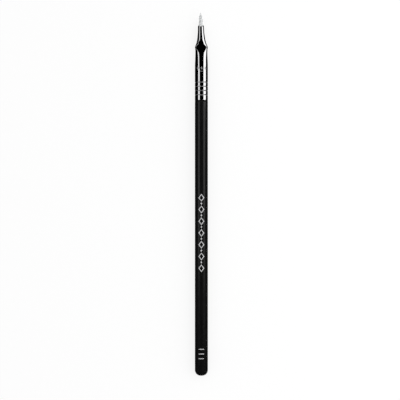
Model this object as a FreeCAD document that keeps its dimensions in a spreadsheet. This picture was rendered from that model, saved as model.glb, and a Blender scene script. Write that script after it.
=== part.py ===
import FreeCAD, Part

import os

import Sketcher

# Eyeliner brush: a black dowel handle with stamped foil, a plated ferrule pinched at its neck, a pointed
# tuft, and the glue that holds the tuft.
#
# The brush lies with its front up. +Y runs along it from the butt of the handle to the tip of the tuft, +Z is
# up, and its lowest line is at Z = 0. The pieces are drawn about their common axis, with the butt at the
# origin, and then placed. All sizes are millimetres, and angles are degrees.

SIZES = (
    # Handle
    ("handle_radius", 3.175, "dowel"),
    ("handle_length", 135.3, "butt to the shoulder that the ferrule meets"),
    ("butt_flat_radius", 0.425, "flat left in the middle of the rounded butt"),
    ("shoulder_round", 0.15, "rounding of the edge beside the ferrule"),
    ("tenon_setback", 0.85, "end of the tenon to the start of the taper"),
    ("tenon_chamfer", 0.5, "lead-in at the end of the tenon"),
    ("tenon_gap", 0.03, "play between the tenon and the ferrule"),
    # Straight part of the ferrule
    ("ferrule_step", 0.01, "how far the ferrule's surface lies below the handle's"),
    ("wall", 0.3, "thickness of the tube"),
    ("rim_round", 0.1, "rounding of both ends of the tube"),
    ("ring_inset", 2.55, "shoulder to the first rolled ring"),
    ("ring_pitch", 2.07, "ring to ring"),
    ("ring_width", 0.48, "rolled ring, at the surface"),
    ("ring_depth", 0.12, "rolled ring"),
    ("ring_count", 4, "rolled rings"),
    ("plain_length", 3.69, "last ring to the start of the taper"),
    # Neck, pinch and nose of the ferrule
    ("neck_length", 13.65, "start of the taper to the bottom of the pinch"),
    ("nose_length", 10.75, "bottom of the pinch to the mouth"),
    ("waist_inset", 0.225, "how far each side comes in below the pinch"),
    ("ear_flare", 0.245, "how far each side is squeezed out again at the pinch"),
    ("ear_half_thickness", 1.65, "oval at the pinch, before it is dented"),
    ("pinch_half_thickness", 0.92, "left at the bottom of the pinch"),
    ("pinch_flat", 0.25, "flat strip at the bottom of the pinch, along the brush"),
    ("lower_slope", 19.2, "facet towards the handle"),
    ("upper_slope", 13.9, "facet towards the tuft"),
    ("mouth_radius", 1.45, "outside of the mouth"),
    ("nose_lean", 1.3, "lean of the nose and the tuft to the left"),
    # Tuft
    ("tuft_length", 6.35, "mouth to the tip"),
    ("mouth_gap", 0.14, "play between the bundle and the mouth"),
    ("tip_radius", 0.04, "longest filaments at the tip"),
    ("root_gap", 4.9, "tenon to the inner end of the filaments"),
    ("fan_length", 4.0, "along which the bundle turns from round to flat, each side of the pinch"),
    ("fan_side_room", 1.145, "each side of the flattened bundle in the pinch"),
    ("fan_gap", 0.02, "play between the flattened bundle and the dents"),
    # Glue
    ("glue_cover", 1.3, "glue below the inner end of the filaments"),
    ("glue_setback", 3.3, "upper face of the glue to the bottom of the pinch"),
    # Foil
    ("foil_thickness", 0.02, "stamped foil"),
    ("foil_stroke", 0.36, "stamped line"),
    ("lozenge_start", 52.9, "butt to the middle of the first lozenge"),
    ("lozenge_count", 7, "open lozenges"),
    ("lozenge_half_width", 1.42, "across the handle"),
    ("lozenge_half_length", 1.95, "along the handle"),
    ("lozenge_gap", 1.85, "between two open lozenges"),
    ("bead_gap", 0.305, "between an open lozenge and the bead beside it"),
    ("bar_start", 8.6, "butt to the first short bar"),
    ("bar_pitch", 2.3, "bar to bar"),
    ("bar_count", 3, "short bars"),
    ("bar_half_width", 1.3, "across the handle"),
)

# Oval sections of the neck, from the barrel to the pinch: how far along the neck, how far the sides have come
# in to the waist, how far they have flared again to the ears, and how far the tube has been flattened.
NECK = (
    (0.00, 0.00, 0.00, 0.00),
    (0.10, 0.00, 0.00, 0.00),
    (0.33, 0.04, 0.00, 0.093),
    (0.54, 0.52, 0.00, 0.235),
    (0.76, 0.95, 0.00, 0.571),
    (0.90, 1.00, 0.10, 0.766),
    (1.00, 1.00, 1.00, 1.00),
)

# Oval sections of the nose, from above the pinch to the mouth: how far along the nose, how much of the ears'
# extra width is left, and how round the tube is again.
NOSE = (
    (0.06, 0.86, 0.10),
    (0.15, 0.62, 0.40),
    (0.25, 0.44, 0.73),
    (0.36, 0.305, 0.90),
    (0.50, 0.185, 0.965),
    (0.66, 0.08, 0.97),
    (0.82, 0.022, 0.98),
    (1.00, 0.00, 1.00),
)

# The fan, where the root turns from round to flat for the pinch and back again: how far each section is from
# the bottom of the pinch as a share of the fan's length, and how flat the bundle is there.
FAN = (
    (-1.0, 0.0),
    (-0.75, 0.15),
    (-0.5, 0.5),
    (-0.25, 0.85),
    (0.0, 1.0),
    (0.25, 0.85),
    (0.5, 0.5),
    (0.75, 0.15),
    (1.0, 0.0),
)

# The tuft beyond the mouth: how far along it is, and its radius as a share of the bundle's.
POINT = (
    (0.20, 0.985),
    (0.38, 0.94),
    (0.54, 0.88),
    (0.64, 0.80),
    (0.71, 0.68),
    (0.77, 0.50),
    (0.84, 0.33),
    (0.91, 0.18),
)

# Places and sizes that follow from the driving ones
SHOULDER = "sizes.handle_length"
FERRULE_RADIUS = "(sizes.handle_radius - sizes.ferrule_step)"
TENON_RADIUS = f"({FERRULE_RADIUS} - sizes.wall - sizes.tenon_gap)"
FIRST_RING = f"({SHOULDER} + sizes.ring_inset)"
BARREL_END = f"({FIRST_RING} + (sizes.ring_count - 1) * sizes.ring_pitch + sizes.plain_length)"
TENON_END = f"({BARREL_END} - sizes.tenon_setback)"
PINCH = f"({BARREL_END} + sizes.neck_length)"
MOUTH = f"({PINCH} + sizes.nose_length)"
TIP = f"({MOUTH} + sizes.tuft_length)"
EAR_HALF_WIDTH = f"({FERRULE_RADIUS} - sizes.waist_inset + sizes.ear_flare)"
EAR_FLATTENING = f"(1 - sizes.ear_half_thickness / {EAR_HALF_WIDTH})"
ROOT_END = f"({TENON_END} + sizes.root_gap)"
BUNDLE_RADIUS = "(sizes.mouth_radius - sizes.wall - sizes.mouth_gap)"
FAN_HALF_WIDTH = f"({EAR_HALF_WIDTH} - sizes.wall - sizes.fan_side_room)"
FAN_HALF_THICKNESS = "(sizes.pinch_half_thickness - sizes.wall - sizes.fan_gap)"
GLUE_START = f"({ROOT_END} - sizes.glue_cover)"
GLUE_END = f"({PINCH} - sizes.glue_setback)"

# Roundings that a thin wall limits
LARGEST_RIM_ROUND = "0.4 * sizes.wall"
LARGEST_SHOULDER_ROUND = "0.8 * sizes.wall"

# Cutters reach this far past what they cut
MARGIN = 1
CLEAR_OF_THE_BRUSH = f"(sizes.handle_radius + {MARGIN})"

FACING_AHEAD = FreeCAD.Rotation(FreeCAD.Vector(1, 0, 0), -90)
SEEN_FROM_THE_SIDE = FreeCAD.Rotation(FreeCAD.Vector(1, 1, 1), 120)
UPRIGHT = FreeCAD.Vector(0, 0, 1)
NEAR = 1e-4

# What a sketch calls its own origin and axes. It calls the start of a line 1, its end 2, and the middle of a
# circle 3.
SKETCH_ORIGIN = (-1, 1)
ACROSS_AXIS = -1
ALONG_AXIS = -2

document = FreeCAD.newDocument("eyeliner_brush")


def make_sheet():
    sheet = document.addObject("Spreadsheet::Sheet", "sizes")
    for row, (alias, value, note) in enumerate(SIZES, start=1):
        sheet.set(f"A{row}", str(value))
        sheet.setAlias(f"A{row}", alias)
        sheet.set(f"B{row}", note)
    document.recompute()
    return sheet


sheet = make_sheet()


def number(formula):
    return float(sheet.evalExpression(formula))


def place(piece):
    """Move a finished piece from where it is drawn, with the butt at the origin, to where it lies."""
    piece.setExpression("Placement.Base.y", f"-{TIP} / 2")
    piece.setExpression("Placement.Base.z", "sizes.handle_radius")
    return piece


# Sketches

def body_sketch(body, name):
    """A sketch on its body's own level plane, with the brush's axis as its upward axis."""
    sketch = body.newObject("Sketcher::SketchObject", name)
    plane = next(item for item in body.Origin.OriginFeatures if item.Role == "XY_Plane")
    sketch.AttachmentSupport = [(plane, "")]
    sketch.MapMode = "FlatFace"
    return sketch


def hold(sketch, element, end, across, along):
    """Hold a point of the sketch at two formulas, measured from the sketch's origin."""
    for kind, formula, axis in (("DistanceX", across, ALONG_AXIS), ("DistanceY", along, ACROSS_AXIS)):
        if formula == "0":
            sketch.addConstraint(Sketcher.Constraint("PointOnObject", element, end, axis))
            continue
        distance = Sketcher.Constraint(kind, *SKETCH_ORIGIN, element, end, number(formula))
        index = sketch.addConstraint(distance)
        sketch.setExpression(f"Constraints[{index}]", formula)


def draw_outline(sketch, corners):
    """Draw a closed outline of straight lines through corners that are pairs of formulas."""
    first = sketch.GeometryCount
    points = [FreeCAD.Vector(number(across), number(along), 0) for across, along in corners]
    for start, end in zip(points, points[1:] + points[:1]):
        sketch.addGeometry(Part.LineSegment(start, end), False)
    for index, (across, along) in enumerate(corners):
        line = first + index
        following = first + (index + 1) % len(corners)
        sketch.addConstraint(Sketcher.Constraint("Coincident", line, 2, following, 1))
        hold(sketch, line, 1, across, along)


def draw_circle(sketch, across, along, radius):
    centre = FreeCAD.Vector(number(across), number(along), 0)
    circle = sketch.addGeometry(Part.Circle(centre, UPRIGHT, number(radius)), False)
    index = sketch.addConstraint(Sketcher.Constraint("Radius", circle, number(radius)))
    sketch.setExpression(f"Constraints[{index}]", radius)
    hold(sketch, circle, 3, across, along)


def turn(body, kind, name, sketch):
    """Turn a sketch about the brush's axis."""
    turned = body.newObject(kind, name)
    turned.Profile = sketch
    turned.ReferenceAxis = (sketch, ["V_Axis"])
    turned.Angle = 360
    document.recompute()
    return turned


def repeat_along(body, name, original, sketch, pitch, count):
    """Repeat a feature along the brush."""
    row = body.newObject("PartDesign::LinearPattern", name)
    row.Originals = [original]
    row.Direction = (sketch, ["V_Axis"])
    row.Mode = "Spacing"
    row.setExpression("Offset", pitch)
    row.setExpression("Occurrences", count)
    body.Tip = row
    document.recompute()


# Turned pieces

def turned_body(name, corners):
    body = document.addObject("PartDesign::Body", name)
    sketch = body_sketch(body, f"{name}_half_outline")
    draw_outline(sketch, corners)
    turn(body, "PartDesign::Revolution", f"{name}_turned", sketch)
    return body


def ease_edge(body, kind, radius, station, prop, formula):
    """Round or chamfer the turned edge that has this radius and station."""
    base = body.Tip
    names = []
    for index, edge in enumerate(base.Shape.Edges, start=1):
        if not isinstance(edge.Curve, Part.Circle):
            continue
        off_radius = abs(edge.Curve.Radius - number(radius))
        off_station = abs(edge.Curve.Center.y - number(station))
        if max(off_radius, off_station) < NEAR:
            names.append(f"Edge{index}")
    eased = body.newObject(kind, f"{body.Name}_eased_edge")
    eased.Base = (base, names)
    eased.setExpression(prop, formula)
    document.recompute()


def roll_rings(body, radius):
    """Press the rolled rings into a turned piece whose surface has this radius."""
    wheel = "((sizes.ring_width ^ 2 / 4 + sizes.ring_depth ^ 2) / (2 * sizes.ring_depth))"
    sketch = body_sketch(body, f"{body.Name}_ring_section")
    draw_circle(sketch, f"{radius} - sizes.ring_depth + {wheel}", FIRST_RING, wheel)
    ring = turn(body, "PartDesign::Groove", f"{body.Name}_ring", sketch)
    repeat_along(body, f"{body.Name}_rings", ring, sketch, "sizes.ring_pitch", "sizes.ring_count")


def make_handle():
    """The dowel with its rounded butt, and the tenon that the ferrule's rings are pressed into."""
    handle = turned_body("handle", (
        ("0", "0"),
        ("sizes.handle_radius", "0"),
        ("sizes.handle_radius", SHOULDER),
        (TENON_RADIUS, SHOULDER),
        (TENON_RADIUS, TENON_END),
        ("0", TENON_END),
    ))
    butt_round = "sizes.handle_radius - sizes.butt_flat_radius"
    shoulder_round = f"min(sizes.shoulder_round; {LARGEST_SHOULDER_ROUND})"
    ease_edge(handle, "PartDesign::Fillet", "sizes.handle_radius", "0", "Radius", butt_round)
    ease_edge(handle, "PartDesign::Fillet", "sizes.handle_radius", SHOULDER, "Radius", shoulder_round)
    ease_edge(handle, "PartDesign::Chamfer", TENON_RADIUS, TENON_END, "Size", "sizes.tenon_chamfer")
    roll_rings(handle, TENON_RADIUS)
    return place(handle)


# Lofted pieces

def oval(name, station, half_width, half_thickness):
    """An oval section across the brush. Beyond the pinch, its middle drifts to the left."""
    section = document.addObject("Part::Ellipse", name)
    section.Placement = FreeCAD.Placement(FreeCAD.Vector(), FACING_AHEAD)
    # An ellipse has to be wider than thick at all times, also before its width is worked out.
    section.MajorRadius = number(CLEAR_OF_THE_BRUSH)
    section.setExpression("MinorRadius", half_thickness)
    section.setExpression("MajorRadius", half_width)
    section.setExpression("Placement.Base.y", station)
    section.setExpression("Placement.Base.x", f"-max({station} - {PINCH}; 0) * tan(sizes.nose_lean)")
    return section


def loft(name, sections, straight=False):
    """A solid through the sections, curved along the brush or, where asked, straight between them."""
    solid = document.addObject("Part::Loft", name)
    solid.Sections = sections
    solid.Solid = True
    solid.Ruled = straight
    document.recompute()
    return solid


# Ferrule

def barrel(name, inset):
    """The straight part of the tube, with its rings."""
    radius = f"({FERRULE_RADIUS} - {inset})"
    body = turned_body(name, (
        ("0", SHOULDER),
        (radius, SHOULDER),
        (radius, BARREL_END),
        ("0", BARREL_END),
    ))
    roll_rings(body, radius)
    return body


def neck(name, inset):
    """The part of the tube that narrows to the waist, then widens and flattens to the pinch."""
    sections = []
    for index, (along, narrowed, flared, flattened) in enumerate(NECK):
        station = f"({BARREL_END} + {along} * sizes.neck_length)"
        width = f"({FERRULE_RADIUS} - {narrowed} * sizes.waist_inset + {flared} * sizes.ear_flare)"
        thickness = f"{width} * (1 - {flattened} * {EAR_FLATTENING})"
        section = oval(f"{name}_section_{index}", station, f"{width} - {inset}", f"{thickness} - {inset}")
        sections.append(section)
    return loft(name, sections)


def nose(name, inset, pinch_section):
    """The part of the tube beyond the pinch, drawn in to the round mouth."""
    sections = [pinch_section]
    for index, (along, wide, rounded) in enumerate(NOSE):
        station = f"({PINCH} + {along} * sizes.nose_length)"
        width = f"(sizes.mouth_radius + {wide} * ({EAR_HALF_WIDTH} - sizes.mouth_radius))"
        thickness = f"{width} * (1 - (1 - {rounded}) * {EAR_FLATTENING})"
        section = oval(f"{name}_section_{index}", station, f"{width} - {inset}", f"{thickness} - {inset}")
        sections.append(section)
    return loft(name, sections)


def dent(name, inset, side):
    """The wedge that the pinch presses into the front (side 1) or the back (side -1)."""
    top = CLEAR_OF_THE_BRUSH
    bottom = f"(sizes.pinch_half_thickness - {inset})"
    lower_edge = f"{PINCH} - sizes.pinch_flat / 2"
    upper_edge = f"{PINCH} + sizes.pinch_flat / 2"
    sketch = document.addObject("Sketcher::SketchObject", f"{name}_outline")
    sketch.Placement = FreeCAD.Placement(FreeCAD.Vector(), SEEN_FROM_THE_SIDE)
    draw_outline(sketch, (
        (lower_edge, f"{side} * {bottom}"),
        (upper_edge, f"{side} * {bottom}"),
        (f"{upper_edge} + ({top} - {bottom}) / tan(sizes.upper_slope)", f"{side} * {top}"),
        (f"{lower_edge} - ({top} - {bottom}) / tan(sizes.lower_slope)", f"{side} * {top}"),
    ))
    wedge = document.addObject("Part::Extrusion", name)
    wedge.Base = sketch
    wedge.DirMode = "Normal"
    wedge.Solid = True
    wedge.Symmetric = True
    wedge.setExpression("LengthFwd", f"2 * {top}")
    return wedge


def pinched_bar(name, inset):
    """The tube's outline as a solid bar, this far inside the tube's surface."""
    lower = neck(f"{name}_neck", inset)
    upper = nose(f"{name}_nose", inset, lower.Sections[-1])
    whole = document.addObject("Part::MultiFuse", f"{name}_whole")
    whole.Shapes = [barrel(f"{name}_barrel", inset), lower, upper]
    whole.Refine = False
    dents = document.addObject("Part::MultiFuse", f"{name}_dents")
    dents.Shapes = [dent(f"{name}_front_dent", inset, 1), dent(f"{name}_back_dent", inset, -1)]
    pinched = document.addObject("Part::Cut", name)
    pinched.Base = whole
    pinched.Tool = dents
    document.recompute()
    return pinched


def make_ferrule(hollow):
    tube = document.addObject("Part::Cut", "tube")
    tube.Base = pinched_bar("outside", "0")
    tube.Tool = hollow
    document.recompute()

    radius = number(f"min(sizes.rim_round; {LARGEST_RIM_ROUND})")
    rims = (number(SHOULDER), number(MOUTH))
    edges = []
    for index, edge in enumerate(tube.Shape.Edges, start=1):
        box = edge.BoundBox
        if any(max(abs(box.YMin - rim), abs(box.YMax - rim)) < NEAR for rim in rims):
            edges.append((index, radius, radius))
    ferrule = document.addObject("Part::Fillet", "ferrule")
    ferrule.Base = tube
    ferrule.Edges = edges
    return place(ferrule)


# Tuft

def make_root():
    """The part of the bundle inside the ferrule, which the glue and the pinch hold."""
    sections = [oval("root_end", ROOT_END, BUNDLE_RADIUS, BUNDLE_RADIUS)]
    for index, (along, flatness) in enumerate(FAN):
        station = f"({PINCH} + {along} * sizes.fan_length)"
        width = f"{BUNDLE_RADIUS} + {flatness} * ({FAN_HALF_WIDTH} - {BUNDLE_RADIUS})"
        thickness = f"{BUNDLE_RADIUS} + {flatness} * ({FAN_HALF_THICKNESS} - {BUNDLE_RADIUS})"
        sections.append(oval(f"fan_section_{index}", station, width, thickness))
    sections.append(oval("root_at_mouth", MOUTH, BUNDLE_RADIUS, BUNDLE_RADIUS))
    return loft("root", sections, straight=True)


def make_tuft(root):
    """The whole bundle: its root and the pointed part beyond the mouth."""
    sections = [root.Sections[-1]]
    for index, (along, share) in enumerate(POINT):
        station = f"({MOUTH} + {along} * sizes.tuft_length)"
        radius = f"{share} * {BUNDLE_RADIUS}"
        sections.append(oval(f"point_section_{index}", station, radius, radius))
    sections.append(oval("point_tip", TIP, "sizes.tip_radius", "sizes.tip_radius"))
    tuft = document.addObject("Part::MultiFuse", "tuft")
    tuft.Shapes = [root, loft("point", sections, straight=True)]
    tuft.Refine = False
    return place(tuft)


# Glue

def round_bar(name, radius, start, length):
    """A plain round bar about the brush's axis."""
    bar = document.addObject("Part::Cylinder", name)
    bar.Placement = FreeCAD.Placement(FreeCAD.Vector(), FACING_AHEAD)
    bar.setExpression("Placement.Base.y", start)
    bar.setExpression("Radius", radius)
    bar.setExpression("Height", length)
    return bar


def make_glue(hollow, root):
    """What fills the hollow of the neck round the root."""
    filling = document.addObject("Part::Common", "glue_filling")
    filling.Base = hollow
    filling.Tool = round_bar("glue_stretch", CLEAR_OF_THE_BRUSH, GLUE_START, f"{GLUE_END} - {GLUE_START}")
    glue = document.addObject("Part::Cut", "glue_plug")
    glue.Base = filling
    glue.Tool = root
    return place(glue)


# Foil

def stamp(body, name, outlines, pitch, count):
    """Raise flat outlines through the front of the handle, and repeat them along it."""
    sketch = body_sketch(body, f"{name}_outline")
    for corners in outlines:
        draw_outline(sketch, corners)
    raised = body.newObject("PartDesign::Pad", name)
    raised.Profile = sketch
    raised.setExpression("Length", CLEAR_OF_THE_BRUSH)
    document.recompute()
    repeat_along(body, f"{name}_row", raised, sketch, pitch, count)


def lozenge(centre, half_width, half_length):
    return (
        (half_width, centre),
        ("0", f"{centre} + {half_length}"),
        (f"-({half_width})", centre),
        ("0", f"{centre} - ({half_length})"),
    )


def make_foil():
    """A row of open lozenges with beads between them, and short bars near the butt."""
    stamps = document.addObject("PartDesign::Body", "foil_stamps")
    stamps.AllowCompound = True

    width = "sizes.lozenge_half_width"
    length = "sizes.lozenge_half_length"
    start = "sizes.lozenge_start"
    pitch = f"(2 * {length} + sizes.lozenge_gap)"
    side = f"sqrt({width} ^ 2 + {length} ^ 2)"
    inner_width = f"{width} - sizes.foil_stroke * {side} / {length}"
    inner_length = f"{length} - sizes.foil_stroke * {side} / {width}"
    open_lozenge = (lozenge(start, width, length), lozenge(start, inner_width, inner_length))
    stamp(stamps, "lozenge", open_lozenge, pitch, "sizes.lozenge_count")

    bead_length = "(sizes.lozenge_gap / 2 - sizes.bead_gap)"
    bead = lozenge(f"{start} + {pitch} / 2", f"{bead_length} * {width} / {length}", bead_length)
    stamp(stamps, "bead", (bead,), pitch, "sizes.lozenge_count - 1")

    lower = "sizes.bar_start - sizes.foil_stroke / 2"
    upper = "sizes.bar_start + sizes.foil_stroke / 2"
    bar = (
        ("sizes.bar_half_width", lower),
        ("sizes.bar_half_width", upper),
        ("-sizes.bar_half_width", upper),
        ("-sizes.bar_half_width", lower),
    )
    stamp(stamps, "bar", (bar,), "sizes.bar_pitch", "sizes.bar_count")

    foil_radius = "sizes.handle_radius + sizes.foil_thickness"
    skin = document.addObject("Part::Cut", "foil_skin")
    skin.Base = round_bar("foil_outside", foil_radius, "0", SHOULDER)
    skin.Tool = round_bar("foil_inside", "sizes.handle_radius", "0", SHOULDER)
    foil = document.addObject("Part::Common", "foil_marks")
    foil.Base = stamps
    foil.Tool = skin
    return place(foil)


# All pieces

def check(pieces):
    for item in document.Objects:
        if "Invalid" in item.State or "Error" in item.State:
            raise RuntimeError(f"{item.Name} failed: {item.State}")
    for piece in pieces:
        if piece.Shape.isNull() or not piece.Shape.isValid() or not piece.Shape.Solids:
            raise RuntimeError(f"{piece.Label} has no valid solid")


def write(pieces):
    os.makedirs("parts", exist_ok=True)
    for piece in pieces:
        piece.Shape.exportStep(f"parts/{piece.Label}.step")
        print(f"{piece.Label}: {len(piece.Shape.Solids)} solids, {piece.Shape.Volume:.3f} mm3")


hollow = pinched_bar("hollow", "sizes.wall")
root = make_root()
pieces = [make_handle(), make_ferrule(hollow), make_tuft(root), make_glue(hollow, root), make_foil()]
document.recompute()
check(pieces)
write(pieces)
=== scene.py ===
import math
import random

import bmesh
import bpy
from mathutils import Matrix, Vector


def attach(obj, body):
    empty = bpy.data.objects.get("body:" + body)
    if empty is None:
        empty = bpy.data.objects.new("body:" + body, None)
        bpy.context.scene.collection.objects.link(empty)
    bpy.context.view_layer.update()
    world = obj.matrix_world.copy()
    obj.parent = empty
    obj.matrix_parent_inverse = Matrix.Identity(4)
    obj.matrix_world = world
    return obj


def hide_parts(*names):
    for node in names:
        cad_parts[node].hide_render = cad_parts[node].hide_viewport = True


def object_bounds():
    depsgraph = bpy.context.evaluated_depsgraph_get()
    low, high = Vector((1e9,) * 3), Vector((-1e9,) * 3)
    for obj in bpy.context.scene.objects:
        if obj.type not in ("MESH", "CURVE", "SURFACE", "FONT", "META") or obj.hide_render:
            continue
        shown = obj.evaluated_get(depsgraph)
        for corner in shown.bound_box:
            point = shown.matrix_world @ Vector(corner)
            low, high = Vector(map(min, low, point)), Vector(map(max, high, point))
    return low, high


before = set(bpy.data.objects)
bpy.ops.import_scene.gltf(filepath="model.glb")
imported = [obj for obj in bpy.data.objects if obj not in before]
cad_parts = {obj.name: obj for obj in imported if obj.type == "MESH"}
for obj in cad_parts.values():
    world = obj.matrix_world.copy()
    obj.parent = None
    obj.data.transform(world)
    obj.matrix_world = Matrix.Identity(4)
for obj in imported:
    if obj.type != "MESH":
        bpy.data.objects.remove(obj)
cad_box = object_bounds()

# Eyeliner brush, seen from straight above. Pieces are drawn in millimetres, with "station" as the
# distance from the butt along the brush, and are turned into metres where each mesh is made.
# A name that ends in STEP is the most that rings of a mesh's points are apart, and one that ends
# in STEPS is how many parts a rounded edge or a patch's side has.

MM = 0.001

# Frame: the middle of the brush's length is at Y = 0, and the brush lies on Z = 0.
LENGTH = (cad_box[1].y - cad_box[0].y) / MM

# Handle, up to the shoulder that the ferrule meets
HANDLE_RADIUS = 3.175
AXIS_HEIGHT = HANDLE_RADIUS
HANDLE_COLUMNS = 160
HANDLE_STEP = 4
SHOULDER = 135.3
BUTT_FLAT = 0.425
BUTT_STEPS = 24
TENON_RADIUS = 2.835
TENON_START = SHOULDER + 0.3
TENON_CHAMFER = 0.5

# Edge beside the ferrule: the lacquer rolls off to a lower step, and a dull black band on that step is
# painted shade for the dark line at the joint
EDGE_DEPTH = 0.08
EDGE_ROLL = 0.12
EDGE_STEPS = 8
EDGE_LENGTH = 0.88
JOINT_SHADE_RADIUS = HANDLE_RADIUS - 0.03
JOINT_SHADE_SETBACK = 0.06
JOINT_SHADE_BEVEL = 0.02

# Ferrule
FERRULE_RADIUS = HANDLE_RADIUS - 0.01
WALL = 0.3
FIRST_RING = SHOULDER + 2.55
RING_PITCH = 2.07
RING_COUNT = 4
RING_WIDTH = 0.48
RING_DEPTH = 0.12
RING_STEP = 0.04
RING_MARGIN = 0.05
PLAIN_START = FIRST_RING + RING_COUNT * RING_PITCH - 1
PLAIN_STEP = 0.8
BARREL_END = FIRST_RING + (RING_COUNT - 1) * RING_PITCH + 3.69
TENON_END = BARREL_END - 0.85
NECK_LENGTH = 13.65
NECK_STEP = 0.22
PINCH = BARREL_END + NECK_LENGTH
NOSE_LENGTH = 10.75
NOSE_STEP = 0.18
MOUTH = PINCH + NOSE_LENGTH
WAIST_INSET = 0.225
EAR_FLARE = 0.245
EAR_HALF_WIDTH = FERRULE_RADIUS - WAIST_INSET + EAR_FLARE
EAR_HALF_THICKNESS = 1.65
EAR_FLATTENING = 1 - EAR_HALF_THICKNESS / EAR_HALF_WIDTH
MOUTH_RADIUS = 1.45
NOSE_LEAN = math.tan(math.radians(1.3))
PINCH_HALF_THICKNESS = 0.86
CREASE_SOFTNESS = 0.04
CREASE_REACH = 1.6
CREASE_STEP = 0.08
FERRULE_COLUMNS = 216
RIM_ROUND = 0.03
RIM_STEPS = 4

# Inside of the tube: its first and last places, and how many rings of points the outside has
# for each one here
INSIDE_START = SHOULDER + 1
INSIDE_END = MOUTH - 0.5
INSIDE_SHARE = 3

# Mouth: its rolled lip, and how far its front is drawn back
LIP_LENGTH = 1.1
LIP_DROP = 0.24
LIP_STEPS = 16
MOUTH_STEPS = 6
DIP_DEPTH = 0.62
DIP_LENGTH = 2
DIP_SHARPNESS = 5

# Neck: share of its length, how far the sides have come in, how far they have flared, and how flat
# the tube is
NECK = (
    (0.00, 0.00, 0.00, 0.00),
    (0.10, 0.00, 0.00, 0.00),
    (0.33, 0.04, 0.00, 0.093),
    (0.54, 0.52, 0.00, 0.235),
    (0.76, 0.95, 0.00, 0.571),
    (0.90, 1.00, 0.10, 0.766),
    (1.00, 1.00, 1.00, 1.00),
)

# Nose: share of its length, how much of the ears' extra width is left, how round the tube is again
NOSE = (
    (0.00, 1.00, 0.00),
    (0.06, 0.86, 0.10),
    (0.15, 0.62, 0.40),
    (0.25, 0.44, 0.73),
    (0.36, 0.305, 0.90),
    (0.50, 0.185, 0.965),
    (0.66, 0.08, 0.97),
    (0.82, 0.022, 0.98),
    (1.00, 0.00, 1.00),
)

# Dents: distance from the bottom of the pinch, with the tuft's side positive, and rise above that bottom.
# On the tuft's side, the right edge rises more and the left one less, by DENT_SKEW times that rise.
DENT = (
    (-12.0, 4.80),
    (-3.3, 1.27),
    (-1.0, 0.34),
    (-0.1, 0.00),
    (0.1, 0.00),
    (0.35, 0.17),
    (0.84, 0.42),
    (1.34, 0.60),
    (2.3, 0.78),
    (2.8, 0.885),
    (3.6, 1.06),
    (10.0, 3.20),
)
DENT_SKEW = 0.28

# Tuft
TIP = LENGTH
TUFT_LENGTH = TIP - MOUTH
BUNDLE_RADIUS = MOUTH_RADIUS - WALL - 0.14
ROOT_END = TENON_END + 4.9
FILAMENT_START = ROOT_END + 0.02
HIDDEN_STEP = 2.4
TUFT_STEP = 0.42
FAN_LENGTH = 4.0
FAN_HALF_WIDTH = 1.74
FAN_HALF_THICKNESS = 0.60
FILAMENT_COUNT = 320
FILAMENT_RADIUS = 0.056
FILAMENT_SIDES = 6
TAPER_LENGTH = 2.4
TAPER_BEND = 0.7
END_THICKNESS = 0.3
SHORTEST_SHARE = 0.1
FURTHEST_END = TIP - 0.01
HALVINGS = 30
GATHERING = 0.55
TURN_SCATTER = 0.1
END_SCATTER = 0.25
LEAST_SWAY = 0.004
MOST_SWAY = 0.016
SWAY_ACROSS = 1.7
SWAY_UP = 1.3

# Fan: share of its length from the pinch, how flat the bundle is
FAN = (
    (-1.0, 0.0),
    (-0.75, 0.15),
    (-0.5, 0.5),
    (-0.25, 0.85),
    (0.0, 1.0),
    (0.25, 0.85),
    (0.5, 0.5),
    (0.75, 0.15),
    (1.0, 0.0),
)

# Point of the tuft: share of its length, share of the bundle's radius
POINT = (
    (0.00, 1.00),
    (0.20, 0.985),
    (0.38, 0.94),
    (0.54, 0.88),
    (0.64, 0.80),
    (0.71, 0.68),
    (0.77, 0.50),
    (0.84, 0.33),
    (0.91, 0.18),
    (1.00, 0.04),
)

# Foil and other thin patches. The hole in the middle of a solid one is SOLID times its outline.
FOIL_THICKNESS = 0.019
FOIL_FOOT = -0.02
PATCH_SIDE_STEPS = 14
PATCH_ROWS = 5
SOLID = 0.01
FOIL_STROKE = 0.36
LOZENGE_START = 52.9
LOZENGE_COUNT = 7
LOZENGE_HALF_WIDTH = 1.42
LOZENGE_HALF_LENGTH = 1.95
LOZENGE_GAP = 1.85
BEAD_GAP = 0.305
BAR_START = 8.6
BAR_PITCH = 2.3
BAR_COUNT = 3
BAR_HALF_WIDTH = 1.3

# Frosted marks on the ferrule
MARK_STATION = BARREL_END + 3.15
MARK_PLACES = (-1.65, 0.1, 1.85)
MARK_HALF_WIDTH = 0.5
MARK_HALF_LENGTH = 0.88
RULE_STATION = BARREL_END + 1.6
RULE_HALF_WIDTH = 0.75
RULE_HALF_LENGTH = 0.1

# Studio: black flags stand round the brush, and it sees the white world through the gaps between them.
# Directions are angles from straight up, positive towards +X. Ends are places along the brush in metres.
# SEEN_IN_JOINT and SEEN_IN_NOSE are the places on the flags that the joint and the nose reflect.
FLAG_DISTANCE = 0.36
FLAG_FOOT = 90.5
LEFT_GAP = (-57.4, -31.5)
LEFT_GAP_AT_TIP = (-57.4, -39.0)
RIGHT_GAP = (39.6, 85)
RIGHT_GAP_AT_HANDLE = (39.6, 61)
FLAG_ENDS = (-0.2, 0.36)
GAP_START = -0.045
GAP_END = 0.26
FRONT_END = 0.5
SEEN_IN_JOINT = 0.0685
SEEN_IN_NOSE = 0.125
SPINE = (-26, 26)
SPINE_DISTANCE = 0.28
SPINE_ENDS = (-0.6, 0.7)
BUTT_FLAG_HALF_WIDTH = 0.06
BUTT_FLAG_TOP = 0.075
BUTT_FLAG_PLACE = -0.11
WORLD_LEVEL = 0.9
GAP_LAMP_LEVEL = 0.3
KEY_LAMP_LEVEL = 0.9
KEY_DIRECTIONS = (20, 80)
KEY_ENDS = (-0.3, 0.3)
FLOOR_GLOW = 0.8
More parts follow.
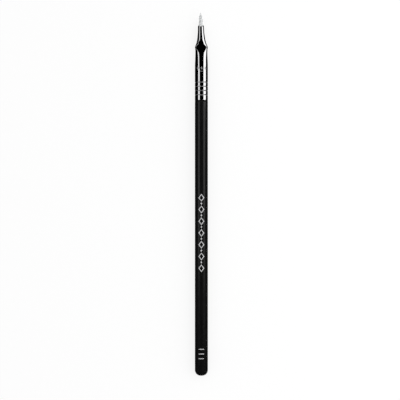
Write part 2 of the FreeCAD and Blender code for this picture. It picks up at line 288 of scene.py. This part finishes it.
FLOOR_REACH = 4

# Camera: the width that it sees at the brush's axis, and its place across and along the brush, in metres
SEEN_WIDTH = 0.1966
CAMERA_ACROSS = -0.00068
CAMERA_ALONG = -0.00297

dice = random.Random(7)


# Curves through tables

def smooth_line(table, column):
    """A smooth function through one column of a table. It rises or falls only where the table does."""
    places = [row[0] for row in table]
    values = [row[column] for row in table]
    steps = [b - a for a, b in zip(places, places[1:])]
    rises = [(b - a) / step for a, b, step in zip(values, values[1:], steps)]
    slopes = [rises[0]]
    for left, right in zip(rises, rises[1:]):
        slopes.append(0 if left * right <= 0 else 2 * left * right / (left + right))
    slopes.append(rises[-1])

    def value_at(place):
        place = min(max(place, places[0]), places[-1])
        index = 0
        while index < len(steps) - 1 and place > places[index + 1]:
            index += 1
        step = steps[index]
        t = (place - places[index]) / step
        bend_in = t * (1 - t) ** 2
        bend_out = t ** 2 * (t - 1)
        ease = t ** 2 * (3 - 2 * t)
        line = values[index] + (values[index + 1] - values[index]) * ease
        return line + step * (slopes[index] * bend_in + slopes[index + 1] * bend_out)

    return value_at


neck_narrowed = smooth_line(NECK, 1)
neck_flared = smooth_line(NECK, 2)
neck_flattened = smooth_line(NECK, 3)
nose_wide = smooth_line(NOSE, 1)
nose_rounded = smooth_line(NOSE, 2)
fan_flatness = smooth_line(FAN, 1)
point_share = smooth_line(POINT, 1)
dent_rise = smooth_line(DENT, 1)


def spread(start, end, step):
    """Evenly spaced stations from start to end, at most this far apart."""
    count = max(1, math.ceil((end - start) / step - 1e-9))
    return [start + (end - start) * index / count for index in range(count + 1)]


def centre_x(station):
    """Beyond the pinch, the nose and the tuft lean to the left."""
    return -max(station - PINCH, 0) * NOSE_LEAN


def mix(a, b, share):
    return a + (b - a) * share


def quarter(steps):
    """Angles from 0 to a right angle."""
    return [math.radians(90 * step / steps) for step in range(steps + 1)]


# Meshes

def to_frame(x, station, height):
    """From millimetres about the brush's axis to metres in the frame."""
    return (x * MM, (station - LENGTH / 2) * MM, (height + AXIS_HEIGHT) * MM)


def make_piece(name, points, faces, smooth=True):
    """An object from points in millimetres about the brush's axis."""
    mesh = bpy.data.meshes.new(name)
    mesh.from_pydata([to_frame(*point) for point in points], [], faces)
    mesh.validate()
    tidy = bmesh.new()
    tidy.from_mesh(mesh)
    bmesh.ops.recalc_face_normals(tidy, faces=tidy.faces)
    tidy.to_mesh(mesh)
    tidy.free()
    for polygon in mesh.polygons:
        polygon.use_smooth = smooth
    piece = bpy.data.objects.new(name, mesh)
    bpy.context.scene.collection.objects.link(piece)
    return piece


def join_rings(ring_count, columns, closed=False, first=0):
    """Four-sided faces between rings of points that follow each other."""
    faces = []
    last = ring_count if closed else ring_count - 1
    for ring in range(last):
        here = first + ring * columns
        there = first + ((ring + 1) % ring_count) * columns
        for column in range(columns):
            following = (column + 1) % columns
            faces.append((here + column, here + following, there + following, there + column))
    return faces


def ring_groove(station):
    """How deep the rolled rings are pressed in at this station."""
    wheel = (RING_WIDTH ** 2 / 4 + RING_DEPTH ** 2) / (2 * RING_DEPTH)
    nearest = round((station - FIRST_RING) / RING_PITCH)
    nearest = min(max(nearest, 0), RING_COUNT - 1)
    off = abs(station - FIRST_RING - nearest * RING_PITCH)
    if off >= RING_WIDTH / 2:
        return 0
    return math.sqrt(wheel ** 2 - off ** 2) - (wheel - RING_DEPTH)


def ring_stations():
    """Stations along the rolled rings, close together inside each ring."""
    stations = []
    for index in range(RING_COUNT):
        middle = FIRST_RING + index * RING_PITCH
        reach = RING_WIDTH / 2
        stations += [middle - reach - RING_MARGIN]
        stations += spread(middle - reach, middle + reach, RING_STEP)
        stations += [middle + reach + RING_MARGIN]
    return stations


# Handle

def turned(profile):
    """Rings of points about the axis, one for each radius and station of the profile."""
    points = []
    for radius, station in profile:
        for column in range(HANDLE_COLUMNS):
            angle = math.tau * column / HANDLE_COLUMNS
            points.append((radius * math.cos(angle), station, radius * math.sin(angle)))
    return points


def make_handle():
    """The dowel with its rounded butt, and the tenon inside the ferrule."""
    butt_round = HANDLE_RADIUS - BUTT_FLAT
    profile = []
    for angle in quarter(BUTT_STEPS):
        radius = BUTT_FLAT + butt_round * math.sin(angle)
        profile.append((radius, butt_round * (1 - math.cos(angle))))
    edge = SHOULDER - EDGE_LENGTH
    for station in spread(butt_round, edge, HANDLE_STEP)[1:]:
        profile.append((HANDLE_RADIUS, station))
    for angle in quarter(EDGE_STEPS)[1:]:
        radius = HANDLE_RADIUS - EDGE_DEPTH * (1 - math.cos(angle))
        profile.append((radius, edge + EDGE_ROLL * math.sin(angle)))
    profile.append((HANDLE_RADIUS - EDGE_DEPTH, SHOULDER))
    profile.append((TENON_RADIUS, SHOULDER))
    for station in [TENON_START] + ring_stations() + [TENON_END - TENON_CHAMFER]:
        profile.append((TENON_RADIUS - ring_groove(station), station))
    profile.append((TENON_RADIUS - TENON_CHAMFER, TENON_END))

    points = turned(profile)
    faces = join_rings(len(profile), HANDLE_COLUMNS)
    faces.append(tuple(range(HANDLE_COLUMNS)))
    faces.append(tuple(range(len(points) - HANDLE_COLUMNS, len(points))))
    return make_piece("lacquered_handle", points, faces)


def make_joint_shade_band():
    """A narrow dull black band between the lacquer and the ferrule, painted shade for the dark line at
    the joint.
    """
    inner = JOINT_SHADE_RADIUS - EDGE_DEPTH
    start = SHOULDER - EDGE_LENGTH + JOINT_SHADE_SETBACK
    end = SHOULDER + RIM_ROUND
    loop = [
        (inner, start),
        (JOINT_SHADE_RADIUS - JOINT_SHADE_BEVEL, start),
        (JOINT_SHADE_RADIUS, start + JOINT_SHADE_BEVEL),
        (JOINT_SHADE_RADIUS, end - JOINT_SHADE_BEVEL),
        (JOINT_SHADE_RADIUS - JOINT_SHADE_BEVEL, end),
        (inner, end),
    ]
    faces = join_rings(len(loop), HANDLE_COLUMNS, closed=True)
    return make_piece("joint_shade_band", turned(loop), faces, smooth=False)


# Ferrule

def tube_section(station, inset):
    """Half width and half thickness of the tube before it is dented, this far inside its surface."""
    if station <= BARREL_END:
        radius = FERRULE_RADIUS - ring_groove(station) - inset
        return radius, radius
    if station <= PINCH:
        share = (station - BARREL_END) / NECK_LENGTH
        width = FERRULE_RADIUS - neck_narrowed(share) * WAIST_INSET + neck_flared(share) * EAR_FLARE
        thickness = width * (1 - neck_flattened(share) * EAR_FLATTENING)
        return width - inset, thickness - inset
    share = (station - PINCH) / NOSE_LENGTH
    width = mix(MOUTH_RADIUS, EAR_HALF_WIDTH, nose_wide(share))
    thickness = width * (1 - (1 - nose_rounded(share)) * EAR_FLATTENING)
    return width - inset, thickness - inset


def softer_lower(a, b, softness):
    """The lower of two heights, with the corner between them rounded."""
    overlap = max(softness - abs(a - b), 0) / softness
    return min(a, b) - overlap ** 2 * softness / 4


def tube_ring(station, inset, columns):
    """Points round the tube at this station, with its dents, and with the mouth's front drawn back."""
    width, thickness = tube_section(station, inset)
    rise = dent_rise(station - PINCH)
    skew = DENT_SKEW * rise if station > PINCH else 0
    middle = centre_x(station)
    near_mouth = max(0, 1 - (MOUTH - station) / DIP_LENGTH) ** 2
    points = []
    for column in range(columns):
        angle = math.tau * column / columns
        height = thickness * math.sin(angle)
        limit = PINCH_HALF_THICKNESS - inset + rise + skew * width * math.cos(angle) / EAR_HALF_WIDTH
        dip = DIP_DEPTH * near_mouth * ((1 + math.sin(angle)) / 2) ** DIP_SHARPNESS
        if abs(height) > limit - CREASE_SOFTNESS:
            pressed = softer_lower(abs(height), limit, CREASE_SOFTNESS)
            height = math.copysign(pressed, height)
        points.append((middle + width * math.cos(angle), station - dip, height))
    return points


def make_ferrule():
    """The whole tube: its outside, the rolled lip at the mouth, its inside, and the rim at the handle."""
    lip_inside = WALL - LIP_DROP
    outside = [SHOULDER + RIM_ROUND, SHOULDER + 2 * RIM_ROUND]
    outside += ring_stations()
    outside += spread(PLAIN_START, BARREL_END, PLAIN_STEP)
    outside += spread(BARREL_END, PINCH - CREASE_REACH, NECK_STEP)[1:]
    outside += spread(PINCH - CREASE_REACH, PINCH + CREASE_REACH, CREASE_STEP)[1:]
    outside += spread(PINCH + CREASE_REACH, MOUTH - LIP_LENGTH, NOSE_STEP)[1:]

    loop = [(station, 0) for station in outside]
    for angle in quarter(LIP_STEPS)[1:]:
        station = MOUTH - LIP_LENGTH * (1 - math.sin(angle))
        loop.append((station, LIP_DROP * (1 - math.cos(angle))))
    for angle in quarter(MOUTH_STEPS)[1:]:
        station = MOUTH - lip_inside * (1 - math.cos(angle))
        loop.append((station, LIP_DROP + lip_inside * math.sin(angle)))
    inside = [station for station in outside[::INSIDE_SHARE] if INSIDE_START < station < INSIDE_END]
    for station in reversed(inside):
        loop.append((station, WALL))
    for angle in quarter(RIM_STEPS):
        station = SHOULDER + RIM_ROUND * (1 - math.sin(angle))
        loop.append((station, WALL - RIM_ROUND * (1 - math.cos(angle))))
    for angle in quarter(RIM_STEPS)[:-1]:
        station = SHOULDER + RIM_ROUND * (1 - math.cos(angle))
        loop.append((station, RIM_ROUND * (1 - math.sin(angle))))

    points = []
    for station, inset in loop:
        points += tube_ring(station, inset, FERRULE_COLUMNS)
    faces = join_rings(len(loop), FERRULE_COLUMNS, closed=True)
    return make_piece("plated_ferrule", points, faces)


# Tuft

def bundle_section(station):
    """Half width and half thickness of the whole bundle."""
    if station <= MOUTH:
        flat = fan_flatness((station - PINCH) / FAN_LENGTH)
        width = mix(BUNDLE_RADIUS, FAN_HALF_WIDTH, flat)
        return width, mix(BUNDLE_RADIUS, FAN_HALF_THICKNESS, flat)
    radius = BUNDLE_RADIUS * point_share((station - MOUTH) / TUFT_LENGTH)
    return radius, radius


def gathered(station):
    """How far the filaments beyond the mouth have drawn together."""
    if station <= MOUTH:
        return 1
    return mix(1, point_share((station - MOUTH) / TUFT_LENGTH), GATHERING)


def filament_end(place):
    """Where the filament at this place, 0 in the middle and 1 at the edge, reaches the tuft's surface."""
    low, high = MOUTH + SHORTEST_SHARE * TUFT_LENGTH, TIP
    for _ in range(HALVINGS):
        middle = (low + high) / 2
        if place * gathered(middle) < point_share((middle - MOUTH) / TUFT_LENGTH):
            low = middle
        else:
            high = middle
    return low


def filament(index):
    """The middle line of one filament, with its radius at each point."""
    place = math.sqrt((index + 0.5) / FILAMENT_COUNT)
    turn = index * math.pi * (3 - math.sqrt(5)) + dice.uniform(-TURN_SCATTER, TURN_SCATTER)
    end = filament_end(place) - dice.uniform(0, END_SCATTER) * (1 - place)
    end = min(end, FURTHEST_END)
    stations = spread(FILAMENT_START, MOUTH, HIDDEN_STEP) + spread(MOUTH, end, TUFT_STEP)[1:]
    waves = dice.uniform(0, math.tau)
    sway = dice.uniform(LEAST_SWAY, MOST_SWAY)
    line = []
    for station in stations:
        left = max(end - station, 0)
        thick = FILAMENT_RADIUS * mix(END_THICKNESS, 1, min(1, left / TAPER_LENGTH) ** TAPER_BEND)
        width, thickness = bundle_section(min(station, MOUTH))
        shrink = gathered(station) * place
        past = min(max(station - MOUTH, 0), 1)
        x = centre_x(station) + (width - thick) * shrink * math.cos(turn)
        x += past * sway * math.sin(waves + station * SWAY_ACROSS)
        height = (thickness - thick) * shrink * math.sin(turn)
        height += past * sway * math.cos(waves + station * SWAY_UP)
        line.append((x, station, height, thick))
    return line


def make_tuft():
    """Tapered filaments, pressed flat where the ferrule is pinched and drawn to a point at the tip."""
    points, faces = [], []
    for index in range(FILAMENT_COUNT):
        line = filament(index)
        first = len(points)
        for x, station, height, thick in line:
            for side in range(FILAMENT_SIDES):
                angle = math.tau * side / FILAMENT_SIDES
                points.append((x + thick * math.cos(angle), station, height + thick * math.sin(angle)))
        faces += join_rings(len(line), FILAMENT_SIDES, first=first)
        faces.append(tuple(range(first, first + FILAMENT_SIDES)))
        last = len(points)
        faces.append(tuple(range(last - FILAMENT_SIDES, last)))
    return make_piece("filament_tuft", points, faces)


# Foil

def divided(corners, count):
    """The points of a closed outline, with this many on each side."""
    points = []
    for (x0, y0), (x1, y1) in zip(corners, corners[1:] + corners[:1]):
        for step in range(count):
            points.append((mix(x0, x1, step / count), mix(y0, y1, step / count)))
    return points


def lozenge(centre, half_width, half_length, x=0):
    return [
        (x + half_width, centre),
        (x, centre + half_length),
        (x - half_width, centre),
        (x, centre - half_length),
    ]


def bar(centre, half_width, half_length):
    corners = [(1, 1), (-1, 1), (-1, -1), (1, -1)]
    return [(x * half_width, centre + y * half_length) for x, y in corners]


def on_front(x, station, lift):
    radius = HANDLE_RADIUS + lift
    return (x, station, math.sqrt(radius ** 2 - x ** 2))


def on_neck(x, station, lift):
    """The place on the front of the ferrule between its rings and its dent."""
    width, thickness = tube_section(station, -lift)
    return (x, station, thickness * math.sqrt(1 - (x / width) ** 2))


def stamp(points, faces, outer, inner, surface=on_front):
    """A thin patch between two outlines, laid on the brush with its edges turned down."""
    outer, inner = divided(outer, PATCH_SIDE_STEPS), divided(inner, PATCH_SIDE_STEPS)
    columns = len(outer)
    rows = [(0, FOIL_FOOT)]
    rows += [(step / PATCH_ROWS, FOIL_THICKNESS) for step in range(PATCH_ROWS + 1)]
    rows += [(1, FOIL_FOOT)]
    first = len(points)
    for share, lift in rows:
        for (x0, y0), (x1, y1) in zip(outer, inner):
            points.append(surface(mix(x0, x1, share), mix(y0, y1, share), lift))
    faces += join_rings(len(rows), columns, closed=True, first=first)


def make_foil():
    """A row of open lozenges with beads between them, and short bars near the butt."""
    points, faces = [], []
    width, length = LOZENGE_HALF_WIDTH, LOZENGE_HALF_LENGTH
    side = math.hypot(width, length)
    inner_width = width - FOIL_STROKE * side / length
    inner_length = length - FOIL_STROKE * side / width
    pitch = 2 * length + LOZENGE_GAP
    for index in range(LOZENGE_COUNT):
        centre = LOZENGE_START + index * pitch
        stamp(points, faces, lozenge(centre, width, length), lozenge(centre, inner_width, inner_length))
    bead_length = LOZENGE_GAP / 2 - BEAD_GAP
    bead_width = bead_length * width / length
    for index in range(LOZENGE_COUNT - 1):
        centre = LOZENGE_START + (index + 0.5) * pitch
        middle = lozenge(centre, bead_width * SOLID, bead_length * SOLID)
        stamp(points, faces, lozenge(centre, bead_width, bead_length), middle)
    half = FOIL_STROKE / 2
    for index in range(BAR_COUNT):
        centre = BAR_START + index * BAR_PITCH
        middle = bar(centre, BAR_HALF_WIDTH - half, half * SOLID)
        stamp(points, faces, bar(centre, BAR_HALF_WIDTH, half), middle)
    return make_piece("foil_ornament", points, faces, smooth=False)


def make_marks():
    """Three small frosted lozenges and a short rule on the front of the ferrule."""
    points, faces = [], []
    for x in MARK_PLACES:
        outer = lozenge(MARK_STATION, MARK_HALF_WIDTH, MARK_HALF_LENGTH, x)
        inner = lozenge(MARK_STATION, MARK_HALF_WIDTH * SOLID, MARK_HALF_LENGTH * SOLID, x)
        stamp(points, faces, outer, inner, on_neck)
    outer = bar(RULE_STATION, RULE_HALF_WIDTH, RULE_HALF_LENGTH)
    inner = bar(RULE_STATION, RULE_HALF_WIDTH - RULE_HALF_LENGTH, RULE_HALF_LENGTH * SOLID)
    stamp(points, faces, outer, inner, on_neck)
    return make_piece("frosted_marks", points, faces, smooth=False)


# Materials

def new_material(name):
    material = bpy.data.materials.new(name)
    material.use_nodes = True
    tree = material.node_tree
    shader = tree.nodes["Principled BSDF"]
    return material, tree, shader


def add(tree, kind, **settings):
    """Add a node. Settings that name an input set its value, and the others set a property."""
    node = tree.nodes.new(kind)
    for key, value in settings.items():
        label = key.replace("_", " ").title()
        if label in node.inputs:
            node.inputs[label].default_value = value
        else:
            setattr(node, key, value)
    return node


def stretched_place(tree, across, along):
    """The place in millimetres, scaled by one factor across the brush and by another along it."""
    place = add(tree, "ShaderNodeTexCoord")
    scale = add(tree, "ShaderNodeMapping")
    scale.inputs["Scale"].default_value = (across / MM, along / MM, across / MM)
    tree.links.new(place.outputs["Object"], scale.inputs["Vector"])
    return scale.outputs["Vector"]


def noise(tree, place, size, detail=4, roughness=0.5):
    """Noise whose patches are about this many millimetres across."""
    node = add(tree, "ShaderNodeTexNoise", scale=1 / size, detail=detail, roughness=roughness)
    tree.links.new(place, node.inputs["Vector"])
    return node.outputs["Fac"]


def ranged(tree, value, low, high, start=0.3, end=0.7):
    """Turn a texture's values between start and end into values between low and high."""
    node = add(tree, "ShaderNodeMapRange")
    node.inputs["From Min"].default_value = start
    node.inputs["From Max"].default_value = end
    node.inputs["To Min"].default_value = low
    node.inputs["To Max"].default_value = high
    tree.links.new(value, node.inputs["Value"])
    return node.outputs["Result"]


def colour_between(tree, share, first, second):
    """A mix of two colours, each an output or three numbers."""
    node = add(tree, "ShaderNodeMix", data_type="RGBA")
    tree.links.new(share, node.inputs[0])
    for socket, colour in zip(node.inputs[6:8], (first, second)):
        if isinstance(colour, tuple):
            socket.default_value = (*colour, 1)
        else:
            tree.links.new(colour, socket)
    return node.outputs[2]


def bump(tree, shader, height, distance, strength=1):
    node = add(tree, "ShaderNodeBump")
    node.inputs["Strength"].default_value = strength
    node.inputs["Distance"].default_value = distance * MM
    tree.links.new(height, node.inputs["Height"])
    tree.links.new(node.outputs["Normal"], shader.inputs["Normal"])


def calculated(tree, operation, first, second):
    """A sum, product or other result of two values, each an output or a number."""
    node = add(tree, "ShaderNodeMath", operation=operation)
    for socket, value in zip(node.inputs, (first, second)):
        if isinstance(value, (int, float)):
            socket.default_value = value
        else:
            tree.links.new(value, socket)
    return node.outputs[0]


def station_in(tree):
    """The distance from the butt in metres."""
    place = add(tree, "ShaderNodeTexCoord")
    parts = add(tree, "ShaderNodeSeparateXYZ")
    tree.links.new(place.outputs["Object"], parts.inputs[0])
    return calculated(tree, "ADD", parts.outputs["Y"], LENGTH / 2 * MM)


def ring_shade_mask(tree):
    """Where the rings' painted shade goes: 1 along the bottom of each rolled ring, and 0 outside the
    rings.
    """
    half_pitch = RING_PITCH / 2 * MM
    bottom = 0.1 * MM
    along = calculated(tree, "SUBTRACT", station_in(tree), FIRST_RING * MM)
    along = calculated(tree, "MAXIMUM", along, -half_pitch)
    along = calculated(tree, "MINIMUM", along, (2 * RING_COUNT - 1) * half_pitch)
    off = calculated(tree, "PINGPONG", along, half_pitch)
    return ranged(tree, off, 1, 0, bottom, RING_WIDTH / 2 * MM)


def lacquer():
    """Black lacquer over wood: slightly wavy, with faint long grain under it and rubbed spots."""
    material, tree, shader = new_material("black_lacquer")
    even = stretched_place(tree, 1, 1)
    grain = noise(tree, stretched_place(tree, 1, 0.06), 0.5, detail=3)
    rubbed = noise(tree, even, 6, detail=5, roughness=0.6)
    darker, lighter = (0.0032, 0.0032, 0.0035), (0.0052, 0.0051, 0.0053)
    colour = colour_between(tree, ranged(tree, grain, 0, 1), darker, lighter)
    tree.links.new(colour, shader.inputs["Base Color"])
    tree.links.new(ranged(tree, rubbed, 0.2, 0.28), shader.inputs["Roughness"])
    shader.inputs["IOR"].default_value = 1.5
    bump(tree, shader, noise(tree, stretched_place(tree, 1, 0.35), 1.6, detail=2), 0.004)
    return material


def joint_shade_material():
    """Dull black painted shade for the joint line, with a fine grain."""
    material, tree, shader = new_material("painted_joint_shade")
    grain = noise(tree, stretched_place(tree, 1, 1), 0.15, detail=4)
    colour = colour_between(tree, ranged(tree, grain, 0, 1), (0.002, 0.002, 0.002), (0.006, 0.006, 0.006))
    tree.links.new(colour, shader.inputs["Base Color"])
    tree.links.new(ranged(tree, grain, 0.75, 0.95), shader.inputs["Roughness"])
    shader.inputs["Specular IOR Level"].default_value = 0.1
    bump(tree, shader, grain, 0.01)
    return material


def plating():
    """Bright plating: fine draw marks along the tube, faint haze, and painted shade along the bottom of
    the rings: a dark colour on rougher, less metallic metal.
    """
    material, tree, shader = new_material("bright_plating")
    haze = noise(tree, stretched_place(tree, 1, 1), 2.5, detail=5, roughness=0.6)
    marks = noise(tree, stretched_place(tree, 1, 0.04), 0.09, detail=3)
    bright = colour_between(tree, ranged(tree, haze, 0, 1), (0.86, 0.86, 0.87), (0.93, 0.93, 0.935))
    ring_shade = ring_shade_mask(tree)
    # Painted shade: the bottom of each rolled ring is coloured dark grey.
    colour = colour_between(tree, ring_shade, bright, (0.22, 0.22, 0.223))
    tree.links.new(colour, shader.inputs["Base Color"])
    ring_shade_roughness = calculated(tree, "MULTIPLY", ring_shade, 0.3)
    roughness = calculated(tree, "MAXIMUM", ring_shade_roughness, ranged(tree, haze, 0.03, 0.07))
    tree.links.new(roughness, shader.inputs["Roughness"])
    tree.links.new(ranged(tree, ring_shade, 1, 0.8, 0, 1), shader.inputs["Metallic"])
    bump(tree, shader, marks, 0.0004)
    return material


def filaments():
    """White filaments: each a little lighter or darker than the next, with faint streaks along it."""
    material, tree, shader = new_material("white_filament")
    each = add(tree, "ShaderNodeNewGeometry").outputs["Random Per Island"]
    streaks = noise(tree, stretched_place(tree, 1, 0.15), 0.12, detail=2)
    shade = calculated(tree, "ADD", ranged(tree, each, 0, 0.75, 0, 1), ranged(tree, streaks, 0, 0.25))
    colour = colour_between(tree, shade, (0.85, 0.87, 0.875), (0.92, 0.935, 0.94))
    tree.links.new(colour, shader.inputs["Base Color"])
    tree.links.new(ranged(tree, each, 0.3, 0.42, 0, 1), shader.inputs["Roughness"])
    shader.inputs["Subsurface Weight"].default_value = 0.6
    shader.inputs["Subsurface Radius"].default_value = (0.0002, 0.0002, 0.0002)
    shader.inputs["Subsurface Scale"].default_value = 1
    return material


def glue():
    """Cured amber resin with small bubbles."""
    material, tree, shader = new_material("clear_glue")
    place = stretched_place(tree, 1, 1)
    clouds = noise(tree, place, 1.2, detail=4)
    bubbles = add(tree, "ShaderNodeTexVoronoi", scale=1 / 0.35)
    tree.links.new(place, bubbles.inputs["Vector"])
    colour = colour_between(tree, ranged(tree, clouds, 0, 1), (0.42, 0.30, 0.12), (0.62, 0.49, 0.26))
    tree.links.new(colour, shader.inputs["Base Color"])
    tree.links.new(ranged(tree, clouds, 0.12, 0.25), shader.inputs["Roughness"])
    bump(tree, shader, bubbles.outputs["Distance"], 0.05)
    return material


def foil():
    """Hot-stamped silver foil: a fine leathery grain, with tiny worn spots that show the lacquer."""
    material, tree, shader = new_material("metallic_foil")
    place = stretched_place(tree, 1, 1)
    leather = noise(tree, place, 0.16, detail=4, roughness=0.6)
    worn = ranged(tree, noise(tree, place, 0.22, detail=5, roughness=0.65), 0, 1, 0.66, 0.72)
    silver = colour_between(tree, ranged(tree, leather, 0, 1), (0.58, 0.58, 0.59), (0.78, 0.78, 0.79))
    tree.links.new(colour_between(tree, worn, silver, (0.02, 0.02, 0.021)), shader.inputs["Base Color"])
    tree.links.new(ranged(tree, leather, 0.3, 0.5), shader.inputs["Roughness"])
    shader.inputs["Metallic"].default_value = 0.35
    bump(tree, shader, leather, 0.006)
    return material


def frosting():
    """Matt etched metal with a fine grain."""
    material, tree, shader = new_material("frosted_marks")
    grain = noise(tree, stretched_place(tree, 1, 1), 0.09, detail=4, roughness=0.6)
    colour = colour_between(tree, ranged(tree, grain, 0, 1), (0.62, 0.62, 0.63), (0.78, 0.78, 0.785))
    tree.links.new(colour, shader.inputs["Base Color"])
    tree.links.new(ranged(tree, grain, 0.36, 0.48), shader.inputs["Roughness"])
    shader.inputs["Metallic"].default_value = 0.8
    bump(tree, shader, grain, 0.002)
    return material


# Pieces on the frame

def finish_piece(piece, node, material):
    piece.data.materials.append(material)
    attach(piece, "root")
    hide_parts(node)


finish_piece(make_handle(), "handle", lacquer())
# The dull black band is painted shade for the dark line where the lacquer meets the ferrule.
finish_piece(make_joint_shade_band(), "handle", joint_shade_material())
finish_piece(make_ferrule(), "ferrule", plating())
finish_piece(make_marks(), "ferrule", frosting())
finish_piece(make_tuft(), "tuft", filaments())
finish_piece(make_foil(), "foil_marks", foil())

resin = glue()
for material_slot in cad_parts["glue_plug"].material_slots:
    material_slot.material = resin


# Stage

def stage_mesh(name, points, faces):
    mesh = bpy.data.meshes.new(name)
    mesh.from_pydata(points, [], faces)
    sheet = bpy.data.objects.new(name, mesh)
    bpy.context.scene.collection.objects.link(sheet)
    return sheet


def floor_material():
    """Pale paper that keeps the shadow, and that the camera, metal and glass see as nearly white."""
    material, tree, shader = new_material("floor_paper")
    fibres = noise(tree, stretched_place(tree, 1, 1), 3, detail=3)
    colour = colour_between(tree, ranged(tree, fibres, 0, 1), (0.86, 0.86, 0.86), (0.88, 0.88, 0.88))
    tree.links.new(colour, shader.inputs["Base Color"])
    shader.inputs["Roughness"].default_value = 1
    shader.inputs["Specular IOR Level"].default_value = 0
    rays = add(tree, "ShaderNodeLightPath")
    seen = rays.outputs["Is Camera Ray"]
    for kind in ("Is Glossy Ray", "Is Transmission Ray"):
        seen = calculated(tree, "MAXIMUM", seen, rays.outputs[kind])
    white = add(tree, "ShaderNodeEmission")
    blend = add(tree, "ShaderNodeMixShader")
    tree.links.new(calculated(tree, "MULTIPLY", seen, FLOOR_GLOW), blend.inputs[0])
    tree.links.new(shader.outputs[0], blend.inputs[1])
    tree.links.new(white.outputs[0], blend.inputs[2])
    tree.links.new(blend.outputs[0], tree.nodes["Material Output"].inputs["Surface"])
    return material


def make_floor():
    reach = FLOOR_REACH
    corners = [(-reach, -reach, 0), (reach, -reach, 0), (reach, reach, 0), (-reach, reach, 0)]
    floor = stage_mesh("floor", corners, [(0, 1, 2, 3)])
    floor.data.materials.append(floor_material())


def flag_material():
    material, _, shader = new_material("black_flag")
    shader.inputs["Base Color"].default_value = (0, 0, 0, 1)
    shader.inputs["Specular IOR Level"].default_value = 0
    return material


def hang_flag(name, corners, black):
    """A black sheet for the metal and the lacquer to reflect. It lights and shades nothing."""
    flag = stage_mesh(name, corners, [(0, 1, 2, 3)])
    flag.data.materials.append(black)
    flag.visible_camera = False
    flag.visible_diffuse = False
    flag.visible_transmission = False
    flag.visible_volume_scatter = False
    flag.visible_shadow = False


def at_direction(direction, distance=FLAG_DISTANCE):
    """The place straight out from the brush's axis in this direction, as x and height."""
    angle = math.radians(direction)
    return distance * math.sin(angle), distance * math.cos(angle) + AXIS_HEIGHT * MM


def make_flag(name, directions, ends, black, distance=FLAG_DISTANCE):
    """A flat flag between two directions."""
    (x0, z0), (x1, z1) = [at_direction(direction, distance) for direction in directions]
    corners = [(x0, ends[0], z0), (x1, ends[0], z1), (x1, ends[1], z1), (x0, ends[1], z0)]
    hang_flag(name, corners, black)


def make_flags():
    """Flags above and beside the brush, over both its ends, on the floor and behind the butt."""
    black = flag_material()
    back = FLAG_ENDS[0]
    make_flag("flag_left", (-FLAG_FOOT, LEFT_GAP[0]), FLAG_ENDS, black)
    make_flag("flag_above", (LEFT_GAP[1], RIGHT_GAP[0]), FLAG_ENDS, black)
    make_flag("flag_right", (RIGHT_GAP[1], FLAG_FOOT), FLAG_ENDS, black)
    beside_handle = (RIGHT_GAP_AT_HANDLE[1], RIGHT_GAP[1])
    beside_nose = (LEFT_GAP_AT_TIP[1], LEFT_GAP[1])
    make_flag("flag_beside_handle", beside_handle, (GAP_START, SEEN_IN_JOINT), black)
    make_flag("flag_beside_nose", beside_nose, (SEEN_IN_NOSE, GAP_END), black)
    make_flag("flag_over_tip_left", LEFT_GAP, (GAP_END, FRONT_END), black)
    make_flag("flag_over_tip_right", RIGHT_GAP, (GAP_END, FRONT_END), black)
    make_flag("flag_over_butt_left", LEFT_GAP, (back, GAP_START), black)
    make_flag("flag_over_butt_right", RIGHT_GAP, (back, GAP_START), black)
    make_flag("flag_spine", SPINE, SPINE_ENDS, black, SPINE_DISTANCE)
    make_small_flags(black)


def make_small_flags(black):
    """The flag on the floor, and a small upright one just behind the butt."""
    reach, (back, front), lift = FLAG_DISTANCE, FLAG_ENDS, 0.02 * MM
    corners = [(-reach, back, lift), (reach, back, lift), (reach, front, lift), (-reach, front, lift)]
    hang_flag("flag_on_floor", corners, black)
    half, place, top = BUTT_FLAG_HALF_WIDTH, BUTT_FLAG_PLACE, BUTT_FLAG_TOP
    corners = [(-half, place, 0), (half, place, 0), (half, place, top), (-half, place, top)]
    hang_flag("flag_behind_butt", corners, black)


def make_lamp(name, directions, ends, radiance):
    """A flat lamp between two directions, facing the brush."""
    middle = sum(directions) / 2
    half = math.radians(abs(directions[1] - directions[0]) / 2)
    light = bpy.data.lights.new(name, "AREA")
    light.shape = "RECTANGLE"
    light.size = 2 * FLAG_DISTANCE * math.tan(half)
    light.size_y = ends[1] - ends[0]
    light.energy = radiance * math.pi * light.size * light.size_y
    lamp = bpy.data.objects.new(name, light)
    bpy.context.scene.collection.objects.link(lamp)
    x, z = at_direction(middle)
    lamp.location = (x, (ends[0] + ends[1]) / 2, z)
    lamp.rotation_euler = (0, math.radians(middle), 0)
    return lamp


def make_world():
    world = bpy.data.worlds.new("studio")
    world.use_nodes = True
    sky = world.node_tree.nodes["Background"]
    sky.inputs["Color"].default_value = (1, 1, 1, 1)
    sky.inputs["Strength"].default_value = WORLD_LEVEL
    bpy.context.scene.world = world


def make_camera():
    """Straight above the brush, with the tuft at the top of the picture."""
    data = bpy.data.cameras.new("camera")
    data.lens = 135
    data.sensor_width = 36
    data.clip_start = 0.05
    data.clip_end = 20
    camera = bpy.data.objects.new("camera", data)
    bpy.context.scene.collection.objects.link(camera)
    height = AXIS_HEIGHT * MM + SEEN_WIDTH * data.lens / data.sensor_width
    camera.location = (CAMERA_ACROSS, CAMERA_ALONG, height)
    camera.rotation_euler = (0, 0, 0)
    bpy.context.scene.camera = camera


make_floor()
make_flags()
make_lamp("right_lamp", RIGHT_GAP, (SEEN_IN_JOINT, GAP_END), GAP_LAMP_LEVEL)
make_lamp("right_lamp_at_handle", RIGHT_GAP_AT_HANDLE, (GAP_START, SEEN_IN_JOINT), GAP_LAMP_LEVEL)
key = make_lamp("key_lamp", KEY_DIRECTIONS, KEY_ENDS, KEY_LAMP_LEVEL)
key.visible_glossy = False
make_world()
make_camera()
bpy.context.scene.view_settings.view_transform = "Standard"
